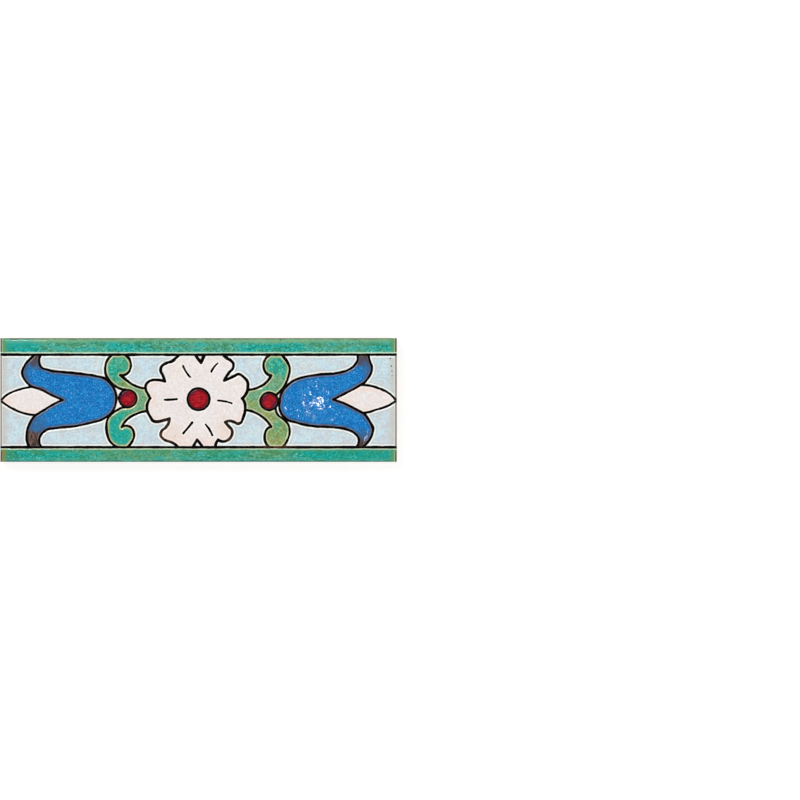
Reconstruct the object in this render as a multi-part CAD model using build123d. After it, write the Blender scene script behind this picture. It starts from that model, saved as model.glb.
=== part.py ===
from build123d import *
import math
import os

# A glazed border tile, lying on its back with the glazed face up.
# X runs along the tile, Y across it and Z up. The origin is in the middle of the back. Millimetres.

# Tile
tile_length = 203.2
tile_width = 63.5
tile_thickness = 10.0
face_edge_radius = 1.2
back_edge_bevel = 0.8

# Keying grooves along the back, in equal numbers on each side of a middle rib
groove_width = 5.0
groove_depth = 0.8
groove_spacing = 9.4
grooves_each_side = 3

# Glaze and the bare dark lines that part the colours
glaze_height = 0.5
border_line = 1.0
tulip_line = 1.1
lozenge_line = 1.0
scroll_line = 1.1
rosette_line = 1.3
bead_line = 0.9
eye_line = 0.9

# How much wider than its line a corner is, the area of the smallest cell that takes glaze,
# and the sine of the bend below which a curve is drawn straight
corner_swell = 0.1
smallest_cell = 0.8
straight_bend = 0.002

# Bands, from the tile's long edges to the middle of each border line
top_band = 8.6
bottom_band = 7.6

# Rosette in the middle, with a round eye and short veins
rosette_reach = 26.3
rosette_height = 0.4
eye_diameter = 11.3
vein_width = 0.9

# Beads, one on each side of the rosette, the left one raised and the right one lowered
bead_distance = 36.2
bead_diameter = 9.1
bead_rise = 0.7

# Scrolls behind the beads
scroll_reach = 11.5
scroll_spread = 23.1

# Tulips, from the beads outwards
tulip_start = 42.1
tulip_length = 48.2
tulip_spread = 23.1

# Lozenges at the tile's ends, in the mouths of the tulips
lozenge_length = 31.5
lozenge_spread = 7.2

# How much longer and wider than the tile the block is before it is trimmed
overrun = 4.0

# Outlines, drawn by hand in hundredths of the sizes above. A row starts where the one before it ends,
# and the last row ends where the first one starts.
left_tulip = [
    [(1, 18), (5, 33), (12, 47), (22, 53), (38, 58), (58, 62), (72, 66), (80, 73), (82, 86), (79, 104)],
    [(84, 104)],
    [(92, 90), (97, 77), (100, 61), (96, 41), (89, 29)],
    [(81, 24), (69, 11), (57, 0)],
    [(69, -12), (78, -24), (86, -34)],
    [(92, -53), (95, -74), (95, -89), (91, -107)],
    [(78, -107)],
    [(82, -89), (80, -77), (75, -67), (63, -62), (44, -58), (28, -51), (15, -43), (5, -28), (0, 0)],
]
right_tulip = [
    [(1, 16), (7, 32), (15, 44), (25, 51), (40, 56), (61, 60), (72, 67), (80, 81), (82, 93), (79, 106)],
    [(92, 106)],
    [(95, 85), (97, 71), (94, 52), (88, 37)],
    [(78, 25), (68, 14), (56, 1)],
    [(72, -12), (82, -23), (89, -31)],
    [(94, -46), (98, -64), (96, -82), (84, -107)],
    [(79, -107)],
    [(83, -86), (79, -74), (70, -65), (53, -60), (35, -58), (18, -51), (6, -42), (0, -27), (-1, -4)],
]
left_lozenge = [
    [(12, 38), (29, 71), (48, 91), (68, 96), (90, 60)],
    [(115, 0)],
    [(90, -70)],
    [(68, -104), (48, -103), (29, -79), (13, -43), (1, -5)],
]
right_lozenge = [
    [(14, 51), (30, 84), (50, 105), (70, 100), (90, 60)],
    [(115, 0)],
    [(90, -60)],
    [(70, -90), (50, -89), (32, -67), (14, -40), (1, -5)],
]
left_scroll = [
    [(67, 23), (29, 29), (-4, 40), (-33, 52)],
    [(-2, 56), (13, 72), (7, 87), (-18, 98), (-50, 102), (-80, 92), (-96, 79), (-100, 59), (-84, 41),
     (-56, 28), (-33, 22), (-12, 20)],
    [(-12, -19)],
    [(-30, -21), (-49, -26), (-71, -34), (-88, -44), (-95, -60), (-91, -80), (-77, -96), (-52, -106),
     (-28, -110), (-2, -107), (20, -94), (28, -78), (11, -63), (-27, -63)],
    [(-3, -46), (33, -35), (67, -29), (107, -27)],
    [(107, 23)],
]
right_scroll = [
    [(63, 28), (28, 36), (5, 46), (-9, 57)],
    [(15, 64), (25, 78), (16, 94), (-8, 104), (-42, 106), (-73, 93), (-91, 72), (-85, 54), (-67, 34),
     (-30, 14)],
    [(-28, -14), (-38, -30), (-62, -39), (-86, -53), (-91, -68), (-80, -87), (-57, -102), (-26, -109),
     (-4, -103), (15, -92), (19, -73), (8, -61), (-9, -57)],
    [(7, -45), (40, -31), (76, -22), (103, -19)],
    [(130, -10)],
    [(130, 10)],
    [(98, 25)],
]

# The rosette's petals, each a direction in degrees and a distance in hundredths of the reach.
# The veins are straight, between two such points.
rosette = [
    [(175, 98), (170, 104), (166, 106), (161, 103), (158, 98), (155, 88), (152, 74)],
    [(146, 84), (143, 92), (138, 96), (132, 94), (125, 90), (117, 92), (107, 101)],
    [(97, 98)],
    [(91, 79), (86, 71)],
    [(84, 79), (81, 96)],
    [(65, 104)],
    [(55, 97), (51, 98), (46, 97), (42, 90), (41, 78), (39, 69), (36, 62)],
    [(34, 71), (33, 82), (32, 92), (26, 98), (20, 101), (14, 99), (7, 94), (1, 85)],
    [(356, 90), (348, 93), (339, 94), (329, 92), (327, 80), (324, 72), (319, 69)],
    [(318, 79), (317, 89), (313, 95), (306, 98), (301, 96), (296, 88)],
    [(292, 92), (289, 105)],
    [(277, 101)],
    [(273, 88), (268, 79)],
    [(265, 87), (262, 102)],
    [(250, 105)],
    [(245, 100), (238, 99), (230, 103), (224, 102), (221, 95), (221, 84), (219, 75), (214, 68)],
    [(211, 80), (209, 90), (206, 97), (200, 100), (194, 102), (187, 101), (179, 94)],
]
veins = [
    [(180, 42), (181, 66)],
    [(111, 46), (115, 71)],
    [(65, 59), (62, 79)],
    [(356, 38), (353, 65)],
    [(286, 51), (291, 75)],
    [(255, 47), (246, 73)],
]


def ways_along(places):
    """Tangent at each place of the circle through it and its neighbours."""
    steps = [end - start for start, end in zip(places, places[1:])]
    if len(steps) == 1:
        return [steps[0].normalized()] * 2
    ways = [
        (before / before.dot(before) + after / after.dot(after)).normalized()
        for before, after in zip(steps, steps[1:])
    ]
    first = steps[0].normalized()
    last = steps[-1].normalized()
    start_way = first * (2 * first.dot(ways[0])) - ways[0]
    end_way = last * (2 * last.dot(ways[-1])) - ways[-1]
    return [start_way] + ways + [end_way]


def arc(start, end, way):
    """Arc that leaves the start in the given way, or a straight line where that leads to the end."""
    bend = way.cross((end - start).normalized())
    return Line(start, end) if bend.length < straight_bend else TangentArc(start, end, tangent=way)


def curve(places, ways):
    """Smooth chain with two arcs from each place to the next."""
    edges = []
    for start, end, leaving, arriving in zip(places, places[1:], ways, ways[1:]):
        span = end - start
        along = span.dot(leaving + arriving)
        turn = 2 * (1 - leaving.dot(arriving))
        reach = span.dot(span) / (along + math.sqrt(along**2 + turn * span.dot(span)))
        middle = (start + end + (leaving - arriving) * reach) / 2
        edges.append(arc(start, middle, leaving))
        edges.append(arc(end, middle, -arriving))
    return edges


def strip(places, ways, width):
    """Strip of the line along a curve."""
    shifts = [Vector(-way.Y, way.X) * width / 2 for way in ways]
    left = [place + shift for place, shift in zip(places, shifts)]
    right = [place - shift for place, shift in zip(places, shifts)]
    ends = [Line(left[0], right[0]), Line(left[-1], right[-1])]
    return make_face(Wire(curve(left, ways) + curve(right, ways) + ends))


def motif(rows, place, line_width):
    """Closed shape with a corner at the end of every row, and the strips of the line round it."""
    edges = []
    strips = []
    start = place(*rows[-1][-1])
    for row in rows:
        places = [start] + [place(u, v) for u, v in row]
        ways = ways_along(places)
        edges = edges + curve(places, ways)
        strips.append(strip(places, ways, line_width))
        strips.append(disc(start.X, start.Y, line_width + corner_swell))
        start = places[-1]
    return make_face(Wire(edges)), strips


def disc(x, y, diameter):
    return Pos(x, y) * Circle(diameter / 2)


def round_motif(x, y, diameter, line_width):
    """Disc and the ring of the line round it."""
    return disc(x, y, diameter), [disc(x, y, diameter + line_width) - disc(x, y, diameter - line_width)]


def end_place(end, start, length, spread):
    """Places along one end of the tile: end is -1 for the left and 1 for the right."""
    return lambda u, v: Vector(end * (start + u * length / 100), v * spread / 100)


def scroll_place(side, rise):
    """Places round the bead of one side, measured towards the rosette."""
    middle = side * bead_distance
    return lambda u, v: Vector(middle - side * u * scroll_reach / 100, rise + v * scroll_spread / 100)


def petal_place(direction, distance):
    angle = math.radians(direction)
    reach = distance * rosette_reach / 100
    return Vector(reach * math.cos(angle), rosette_height + reach * math.sin(angle))


def vein(inner, outer):
    start = petal_place(*inner)
    end = petal_place(*outer)
    step = end - start
    direction = math.degrees(math.atan2(step.Y, step.X))
    slot = SlotCenterToCenter(step.length, vein_width).rotate(Axis.Z, direction)
    return slot.translate((start + end) / 2)


# Shapes with the lines round them, those in front first
half_length = tile_length / 2
tulip_sizes = (tulip_start, tulip_length, tulip_spread)
lozenge_sizes = (half_length, -lozenge_length, lozenge_spread)
motifs = [
    round_motif(-bead_distance, bead_rise, bead_diameter, bead_line),
    round_motif(bead_distance, -bead_rise, bead_diameter, bead_line),
    round_motif(0, rosette_height, eye_diameter, eye_line),
    motif(rosette, petal_place, rosette_line),
    motif(left_tulip, end_place(-1, *tulip_sizes), tulip_line),
    motif(right_tulip, end_place(1, *tulip_sizes), tulip_line),
    motif(left_lozenge, end_place(-1, *lozenge_sizes), lozenge_line),
    motif(right_lozenge, end_place(1, *lozenge_sizes), lozenge_line),
    motif(left_scroll, scroll_place(-1, bead_rise), scroll_line),
    motif(right_scroll, scroll_place(1, -bead_rise), scroll_line),
]

# The field between the border lines, longer than the tile so that it runs out over the ends
top_line_y = tile_width / 2 - top_band
bottom_line_y = bottom_band - tile_width / 2
blank_length = tile_length + overrun
blank_width = tile_width + overrun
middle_y = (top_line_y + bottom_line_y) / 2
field_width = top_line_y - bottom_line_y - border_line
field = Pos(0, middle_y) * Rectangle(blank_length, field_width)
lined_strip = Pos(0, middle_y) * Rectangle(blank_length, field_width + 2 * border_line)

# Glaze cells: every shape less the line round it and what stands in front of it, then the field
cells = []
front = [vein(*row) for row in veins]
for shape, strips in motifs:
    cells = cells + ((shape & field) - (strips + front)).faces()
    front = front + [shape] + strips
cells = cells + (field - front).faces()
cells = [cell for cell in cells if cell.area > smallest_cell]

# Block larger than the tile, with the bare lines sunk into its glaze
line_face = lined_strip - cells
sunk_lines = extrude(Pos(0, 0, tile_thickness - glaze_height) * line_face, 2 * glaze_height)
blank = Pos(0, 0, tile_thickness / 2) * Box(blank_length, blank_width, tile_thickness)
blank = blank - sunk_lines

# The tile's own outline, with its face edges rounded and its back edges bevelled
envelope = Pos(0, 0, tile_thickness / 2) * Box(tile_length, tile_width, tile_thickness)
envelope = fillet(envelope.edges().group_by(Axis.Z)[-1], face_edge_radius)
envelope = chamfer(envelope.edges().group_by(Axis.Z)[0], back_edge_bevel)
tile = blank & envelope

# Keying grooves, open at both ends
for side in (-1, 1):
    for number in range(grooves_each_side):
        groove_y = side * (number + 0.5) * groove_spacing
        tile = tile - Pos(0, groove_y, 0) * Box(blank_length, groove_width, 2 * groove_depth)

tile.label = "border_tile"
os.makedirs("parts", exist_ok=True)
export_step(tile, "parts/border_tile.step")
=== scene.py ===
import math

import bmesh
import bpy
import numpy as np
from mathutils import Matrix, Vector, geometry, kdtree, noise
from mathutils.bvhtree import BVHTree


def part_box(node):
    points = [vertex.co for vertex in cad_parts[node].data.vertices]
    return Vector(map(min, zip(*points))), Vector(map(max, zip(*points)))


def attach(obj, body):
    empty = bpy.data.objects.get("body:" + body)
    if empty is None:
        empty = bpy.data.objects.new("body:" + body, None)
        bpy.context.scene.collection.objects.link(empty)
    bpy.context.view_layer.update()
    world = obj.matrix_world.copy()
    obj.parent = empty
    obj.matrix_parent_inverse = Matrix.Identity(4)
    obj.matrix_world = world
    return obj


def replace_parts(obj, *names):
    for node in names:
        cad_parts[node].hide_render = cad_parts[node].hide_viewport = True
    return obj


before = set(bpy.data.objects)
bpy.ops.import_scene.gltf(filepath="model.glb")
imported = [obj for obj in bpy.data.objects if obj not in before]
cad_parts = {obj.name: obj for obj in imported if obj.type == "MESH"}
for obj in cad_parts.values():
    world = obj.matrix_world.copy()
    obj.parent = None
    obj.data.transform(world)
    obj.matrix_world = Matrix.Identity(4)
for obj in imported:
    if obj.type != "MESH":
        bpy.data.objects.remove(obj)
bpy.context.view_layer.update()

bl_info = {
    "name": "Border tile",
    "version": (1, 0, 0),
    "blender": (4, 5, 0),
    "location": "3D View > Sidebar > Tile",
    "description": "Dresses a packed border tile with its clay, dark lines and coloured glazes",
    "category": "Object",
}

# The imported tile, in millimetres
MM = 0.001
NODE = "border_tile"
EDGE_X, EDGE_Y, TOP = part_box(NODE)[1] / MM
EDGES = np.array((EDGE_X, EDGE_Y))

# Photograph: the whole frame is this many pixels, and the tile's middle and ends lie at these
FRAME_PIXELS = 800
TILE_MIDDLE_PIXEL = (198.45, 399.97)
TILE_LENGTH_PIXELS = 396.8

# Stage, in metres: the camera's height, and each soft lamp's place, side and watts
CAMERA_HEIGHT = 2.6
LAMPS = {"key": ((-0.55, 0.75, 1.15), 0.6, 9.0), "fill": ((0.9, -0.6, 0.9), 0.9, 6.0)}

# Glints in the photograph: where each is, the two sides in millimetres of the lamp that gives it, and how far
# the glaze leans there
GLINTS = [((317, 402), 2, 9, 0), ((22, 340), 16, 70, 0.13)]
GLINT_BRIGHTNESS = 62

# Floor: how far it reaches in metres. In millimetres, how far inside the tile's edges its plain part and its
# opening begin, and how far it lies under the tile.
FLOOR_REACH = 4.0
FLOOR_INSETS = [(0.5, 0.5), (8, 3)]
FLOOR_DROP = 0.01

# The long lines lie beyond this height, and the veins are strokes smaller than this and nearer to the eye
LONG_LINE_Y = 22.8
VEIN_AREA = 14
VEIN_REACH = 20

# Meshes, in millimetres: the spacing of points along outlines, and along the rims that distances go from
OUTLINE_STEP = 0.34
RIM_STEP = 0.09

# What lies nearer to the tile's edge than this is on it
EDGE_SLACK = 0.01

# Rows of points stand this far inside the rims of pools and of lines
POOL_ROWS = (0.08, 0.2, 0.38)
LINE_ROWS = (0.2, 0.42)

# Undersides are drawn in from the tile's edge and let into the clay by these
UNDERSIDE_INSET = 0.7
BEDDING = 0.08

# The lines run this far under the bands' rims
LINE_OVERLAP = 0.12

# How far and how thickly a glaze and the line's wax run down the tile's side
GLAZE_RUN = (1.1, 0.25)
LINE_RUN = (0.5, 0.2)

# The clay within a margin is drawn in by the inset, from a level up and growing over a slope's height. Its
# top lies a clearance under the glaze.
CLAY_MARGIN = 1.6
CLAY_INSET = 0.2
CLAY_DRAWN_FROM = 7.0
CLAY_SLOPE = 1.5
CLAY_CLEARANCE = 0.02

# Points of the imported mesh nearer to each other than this, in metres, are one
WELD = 1e-7

# A point in each cell of coloured glaze. A cell with none of them has the field's glaze.
CELL_POINTS = {
    "band": [(0, 28), (0, -28)],
    "tulip": [(-60, 5), (60, 5)],
    "scroll": [(-38, 15), (38, 15)],
    "white": [(0, 12), (-85, 0), (85, 0), (-41.3, 3.6), (-40.9, -3.3), (41.2, 1.5), (41.2, -5)],
    "red": [(-36.2, 0.7), (36.2, -0.7), (0, 0.4)],
}

# Iron specks that show in the photograph: each one's middle and radius in millimetres
SPECKS = [
    (98.3, 21.3, 0.42), (98.7, 17.4, 0.5), (99.1, 14.8, 0.38), (99.2, 12.6, 0.26), (42, 30.6, 0.4),
    (82.3, 30.2, 0.34), (-63.2, -25.5, 0.34), (-32.6, -26.2, 0.26), (11.2, -26.2, 0.4), (-12.1, -18.6, 0.24),
    (-94.6, 17.4, 0.24), (-60.3, 27.2, 0.2), (63.8, -28.4, 0.22),
]
SPECK_THICKNESS = 0.03

# The rest are scattered: how many, the range of their radii, how far from the edge, and the seed
SCATTERED_SPECKS = 34
SCATTERED_RADII = (0.09, 0.2)
SCATTER_MARGIN = 2
SCATTER_SEED = 7


def colour(code):
    """Linear colour of an sRGB hex code."""
    parts = [int(code[start:start + 2], 16) / 255 for start in (0, 2, 4)]
    return [part / 12.92 if part <= 0.04045 else ((part + 0.055) / 1.055) ** 2.4 for part in parts] + [1.0]


def per_mm(size):
    """Noise scale, in object coordinates, of features of this size in millimetres."""
    return 1 / (size * MM)


def add(tree, kind, inputs=(), **fields):
    """Adds a node with its fields. Its inputs, by name or in order, are set or linked to a node or socket."""
    node = tree.nodes.new(kind)
    for field, value in fields.items():
        setattr(node, field, value)
    for name, value in inputs.items() if isinstance(inputs, dict) else enumerate(inputs):
        if isinstance(value, bpy.types.Node):
            value = next(socket for socket in value.outputs if socket.enabled)
        if isinstance(value, bpy.types.NodeSocket):
            tree.links.new(value, node.inputs[name])
        else:
            node.inputs[name].default_value = value
    return node


# The kinds of node, and the way of easing, that are used most
MATH = "ShaderNodeMath"
RANGE = "ShaderNodeMapRange"
SMOOTH = "SMOOTHSTEP"


def emptied(owner):
    """Node tree of a material or a world, with no nodes yet."""
    owner.use_nodes = True
    owner.node_tree.nodes.clear()
    return owner.node_tree


def linked(name, data):
    """New object in the scene, at its origin."""
    made = bpy.data.objects.new(name, data)
    bpy.context.scene.collection.objects.link(made)
    return made


def length_setting(title, description, millimetres):
    """Setting for a length."""
    return bpy.props.FloatProperty(
        name=title, description=description, unit="LENGTH", default=millimetres * MM)


def colour_setting(title, description, code):
    """Setting for a colour."""
    return bpy.props.FloatVectorProperty(
        name=title, description=description, subtype="COLOR", size=4, default=colour(code))


class BorderTileSizes(bpy.types.PropertyGroup):
    """Sizes of the glaze and the lines"""
    rim_width: length_setting("Rim width", "Width of a glaze pool's rounded rim", 0.75)
    pool_height: length_setting("Pool height", "Height of a pool's rim over the clay", 0.46)
    sag: length_setting("Sag", "How much lower a pool's middle is than its rim", 0.05)
    ripple_height: length_setting("Ripple height", "Height of the waves in the glaze", 0.03)
    ripple_length: length_setting("Ripple length", "Length of the waves in the glaze", 6)
    pit_radius: length_setting("Pit radius", "Radius of a burst bubble in the glaze", 0.5)
    pit_depth: length_setting("Pit depth", "Depth of a burst bubble", 0.12)
    pit_density: bpy.props.FloatProperty(
        name="Pits", description="Burst bubbles on a square metre", default=2500)
    line_rise: length_setting("Line rise", "Height of a dark line over the clay", 0.14)
    face_edge_radius: length_setting("Edge radius", "Rounding of the glazed face's edges", 1.2)
    glaze_height: length_setting("Glaze height", "Height of the glaze over the clay", 0.5)
    mesh_step: length_setting("Mesh step", "Spacing of the points in a pool", 0.42)


class BorderTileColours(bpy.types.PropertyGroup):
    """Colours of the clay and the glazes"""
    clay: colour_setting("Clay", "Bare fired clay", "D9C3A5")
    line: colour_setting("Line", "Matt dark line", "050403")
    band: colour_setting("Band", "Turquoise of the two bands", "22A094")
    field: colour_setting("Field", "Pale ground", "C9DAE0")
    tulip: colour_setting("Tulip", "Cobalt blue", "1A7EC4")
    scroll: colour_setting("Scroll", "Green of the scrolls", "3FA98C")
    white: colour_setting("White", "Warm white", "EAE0DC")
    red: colour_setting("Red", "Red of the beads and the eye", "A61823")


# Flat layout of the cells


def cut_solid(height, outlines_alone=False):
    """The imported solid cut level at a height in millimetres, all of it or the cut's outlines alone."""
    mesh = bmesh.new()
    mesh.from_mesh(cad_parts[NODE].data)
    bmesh.ops.remove_doubles(mesh, verts=mesh.verts, dist=WELD)
    bmesh.ops.bisect_plane(
        mesh, geom=mesh.verts[:] + mesh.edges[:] + mesh.faces[:], dist=1e-9, plane_co=(0, 0, height * MM),
        plane_no=(0, 0, 1), clear_inner=outlines_alone, clear_outer=outlines_alone)
    return mesh


def section_loops(height):
    """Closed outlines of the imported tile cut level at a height, as arrays of points in millimetres."""
    mesh = cut_solid(height, True)
    loops = []
    order = sorted(mesh.verts, key=lambda vert: (round(vert.co.x, 7), round(vert.co.y, 7)))
    left = set(order)
    for vert in order:
        if vert not in left:
            continue
        left.discard(vert)
        chain = [vert]
        while True:
            after = [edge.other_vert(vert) for edge in vert.link_edges if edge.other_vert(vert) in left]
            if not after:
                break
            vert = min(after, key=lambda near: (near.co.y, near.co.x))
            left.discard(vert)
            chain.append(vert)
        loops.append(np.array([[vert.co.x, vert.co.y] for vert in chain]) / MM)
    mesh.free()
    return loops


def signed_area(loop):
    """Area of an outline, below zero where it runs clockwise."""
    after = np.roll(loop, -1, axis=0)
    return float(np.sum(loop[:, 0] * after[:, 1] - loop[:, 1] * after[:, 0])) / 2


def contains(loop, point):
    """Whether an outline goes round a point."""
    start = loop - point
    end = np.roll(start, -1, axis=0)
    spans = (start[:, 1] > 0) != (end[:, 1] > 0)
    start, end = start[spans], end[spans]
    crossing = start[:, 0] - start[:, 1] * (end[:, 0] - start[:, 0]) / (end[:, 1] - start[:, 1])
    return int(np.sum(crossing > 0)) % 2 == 1


def divided(loop, step):
    """The outline with no stretch longer than the step."""
    points = []
    for start, end in zip(loop, np.roll(loop, -1, axis=0)):
        count = max(1, math.ceil(np.linalg.norm(end - start) / step))
        points += [start + (end - start) * number / count for number in range(count)]
    return np.array(points)


def sideways(loop):
    """Unit vectors across an outline at its points, to the right of its way round."""
    along = np.roll(loop, -1, axis=0) - np.roll(loop, 1, axis=0)
    lengths = np.maximum(np.linalg.norm(along, axis=1), 1e-6)
    return np.stack([along[:, 1], -along[:, 0]], axis=1) / lengths[:, None]


def edge_distance(points):
    """Distance from the tile's own edge, in millimetres."""
    return np.min(EDGES - np.abs(points[:, :2]), axis=1)


def drawn(loop, edge_reach=0.6, wobble=0.11, wave=2.8, steadiness=0.4):
    """The outline as a hand draws it: a little uneven, and run out to the tile's edge where it comes near."""
    loop = divided(np.where(np.abs(loop) > EDGES - edge_reach, np.sign(loop) * EDGES, loop), OUTLINE_STEP)
    across = sideways(loop)
    for number in np.nonzero(edge_distance(loop) > EDGE_SLACK)[0]:
        x, y = loop[number]
        shift = noise.noise(Vector((x / wave, y / wave, 3.7)))
        steady = steadiness if abs(y) > LONG_LINE_Y else 1
        loop[number] += across[number] * wobble * steady * shift
    return loop


def bowed(loop, bow=0.38, slight=0.3):
    """A vein as a quick brush draws it, bowed to one side as seen from the rosette's eye."""
    middle = loop.mean(axis=0)
    way = middle / np.linalg.norm(middle)
    along = (loop - middle) @ way
    bend = bow * (1 - (along / np.abs(along).max()) ** 2)

    # The two veins at the lower left are nearly straight
    if middle[0] < 0 and middle[1] < 3:
        bend *= slight
    return loop + np.outer(bend - bend.mean(), (-way[1], way[0]))


def is_vein(loop):
    """Whether an outline is one of the short strokes round the rosette's eye."""
    return abs(signed_area(loop)) < VEIN_AREA and np.linalg.norm(loop.mean(axis=0)) < VEIN_REACH


def cell_groups():
    """Outlines of the glaze cells by their glaze, each cell a list of its outline and those of its holes."""
    sizes = bpy.context.scene.border_tile_sizes
    loops = [drawn(loop) for loop in section_loops(TOP - sizes.glaze_height / MM / 2)]
    loops = [bowed(loop) if is_vein(loop) else loop for loop in loops]
    around = [
        [other for other in range(len(loops)) if other != number and contains(loops[other], loop[0])]
        for number, loop in enumerate(loops)
    ]
    groups = {"field": []}
    for number, loop in enumerate(loops):
        if len(around[number]) % 2:
            continue
        holes = [
            loops[other] for other in range(len(loops))
            if number in around[other] and len(around[other]) == len(around[number]) + 1
        ]
        kinds = [
            kind for kind, points in CELL_POINTS.items() for point in points
            if contains(loop, point) and not any(contains(hole, point) for hole in holes)
        ]
        groups.setdefault(kinds[0] if kinds else "field", []).append([loop] + holes)
    return groups


# Pools


def envelope(points, radius):
    """Height of the tile's rounded outer form over each point."""
    over = np.clip(radius - edge_distance(points), 0, radius)
    return TOP - radius + np.sqrt(np.maximum(radius**2 - over**2, 0))


def rim_tree(loops):
    """Search tree of points along the rims, leaving out what lies on the tile's edge."""
    points = np.concatenate([divided(loop, RIM_STEP) for loop in loops])
    points = points[edge_distance(points) > 2 * EDGE_SLACK]
    tree = kdtree.KDTree(len(points))
    for number, point in enumerate(points):
        tree.insert((*point, 0), number)
    tree.balance()
    return tree


def rim_distance(tree, points):
    """Distance of each point from the nearest rim, in millimetres."""
    return np.array([tree.find((*point, 0))[2] for point in points])


def rows_inside(loops, tree, distances):
    """Points in rows along a pool's rims, on their inner side, without those that come near another rim."""
    rows = []
    for number, loop in enumerate(loops):
        turn = -1 if (signed_area(loop) > 0) == (number == 0) else 1
        inland = edge_distance(loop) > 2 * EDGE_SLACK
        for distance in distances:
            row = (loop + turn * distance * sideways(loop))[inland]
            rows.append(row[rim_distance(tree, row) > 0.9 * distance])
    return np.concatenate(rows)


def edge_rows(loop, radius):
    """Points in rows that follow the rounding at the tile's edge, one every 15 degrees."""
    rows = []
    for turn in range(15, 90, 15):
        inset = radius * (1 - math.sin(math.radians(turn)))
        for axis, edge in enumerate(EDGES):
            for sign in (-1, 1):
                row = loop[loop[:, axis] * sign > edge - EDGE_SLACK].copy()
                row[:, axis] = sign * (edge - inset)
                rows.append(row)
    return np.concatenate(rows)


def grid(loops, step):
    """Points in even triangles over the first outline's box."""
    (left, bottom), (right, top) = loops[0].min(axis=0), loops[0].max(axis=0)
    xs = np.arange(left, right, step)
    ys = np.arange(bottom, top, step * math.sqrt(3) / 2)
    points = np.stack(np.meshgrid(xs, ys), axis=-1)
    points[1::2, :, 0] += step / 2
    return points.reshape(-1, 2)


def triangles(loops, extra):
    """Triangles that fill the outlines, with holes left open and the extra points used."""
    loops = [loop if signed_area(loop) > 0 else loop[::-1] for loop in loops]
    points = [Vector(point) for point in np.concatenate(loops + [extra])]
    ends = np.cumsum([len(loop) for loop in loops])
    rings = [list(range(end - len(loop), end)) for loop, end in zip(loops, ends)]
    verts, _, faces, _, _, inside = geometry.delaunay_2d_cdt(points, [], rings, 0, 1e-5)

    # Kept are those that lie in the outline alone, or in it and in two more
    kept = np.array([face for face, found in zip(faces, inside) if len(found) % 2])
    used, kept = np.unique(kept, return_inverse=True)
    flat, kept = np.array(verts)[used], kept.reshape(-1, 3)

    # All of them are turned to face up
    first, second = flat[kept[:, 1]] - flat[kept[:, 0]], flat[kept[:, 2]] - flat[kept[:, 0]]
    down = first[:, 0] * second[:, 1] <= first[:, 1] * second[:, 0]
    kept[down] = kept[down, ::-1]
    return flat, [tuple(face) for face in kept.tolist()]


class Shell:
    """Closed mesh that grows cell by cell, with the distances that its finish follows."""

    def __init__(self):
        self.verts = []
        self.faces = []
        self.rim = []
        self.upper = []

    def put(self, points, heights, rims, upper):
        """Adds points, and returns the first one's number."""
        start = len(self.verts)
        self.verts += [(*point, height) for point, height in zip(points, heights)]
        self.rim += list(rims)
        self.upper += [float(upper)] * len(points)
        return start

    def cell(self, flat, faces, rims, heights, floor, skirt):
        """Adds one cell: its upper side, its underside and the walls between."""
        sides = [side for face in faces for side in zip(face, face[1:] + face[:1])]
        known = set(sides)
        upper = self.put(flat, heights, rims, True)
        reach = EDGES - UNDERSIDE_INSET
        lower = self.put(np.clip(flat, -reach, reach), [floor] * len(flat), rims, False)
        self.faces += [tuple(corner + upper for corner in face) for face in faces]
        self.faces += [tuple(corner + lower for corner in face[::-1]) for face in faces]

        # Points that hang down the tile's side
        outer = np.nonzero(edge_distance(flat) < EDGE_SLACK)[0]
        hung = {}
        for points, levels in skirt(flat[outer]):
            start = self.put(points, levels, rims[outer], False)
            for number, corner in enumerate(outer):
                hung.setdefault(corner, []).append(start + number)

        def column(corner, hangs):
            return [corner + upper] + (hung[corner] if hangs else []) + [corner + lower]

        # Walls, and the gaps where one that hangs meets one that doesn't
        meets = {}
        for start, end in sides:
            if (end, start) in known:
                continue
            hangs = start in hung and end in hung
            left, right = column(start, hangs), column(end, hangs)
            for row in range(len(left) - 1):
                self.faces.append((left[row], left[row + 1], right[row + 1], right[row]))
            meets.setdefault(end, [False, False])[0] = hangs
            meets.setdefault(start, [False, False])[1] = hangs
        for corner, (before, after) in meets.items():
            if before != after:
                gap = column(corner, True)
                self.faces.append(tuple(gap if before else gap[::-1]))

    def finish(self, name):
        """Object of the shell, with rim and edge distances in millimetres as attributes."""
        mesh = bpy.data.meshes.new(name)
        verts = np.array(self.verts)
        mesh.from_pydata([tuple(vert * MM) for vert in verts], [], self.faces)
        marks = {
            "rim": self.rim, "upper": self.upper, "edge": edge_distance(verts),
            "end": EDGE_X - np.abs(verts[:, 0]), "north": verts[:, 1]}
        for title, values in marks.items():
            layer = mesh.attributes.new(title, "FLOAT", "POINT")
            layer.data.foreach_set("value", np.array(values, np.float32))
        mesh.validate()
        mesh.update()
        return linked(name, mesh)


def hem(reach, thickness, seed, run_length=6, unevenness=0.8):
    """Rows of points where a glaze has run down the tile's side, to an uneven and rounded lower edge."""
    def rows(points):
        out = np.sign(points) * (EDGES - np.abs(points) < EDGE_SLACK)
        start = envelope(points, bpy.context.scene.border_tile_sizes.face_edge_radius / MM)
        runs = np.array([noise.fractal(Vector((*place, seed)), 0.7, 2.0, 3) for place in points / run_length])
        fall = np.maximum(reach * (1 + unevenness * runs), 0.15 * reach)
        profile = ((0, 0.5), (0.03, 0.92), (thickness, 1), (UNDERSIDE_INSET, 0.9))
        return [(points - out * inset, start - share * fall) for inset, share in profile]
    return rows


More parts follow.
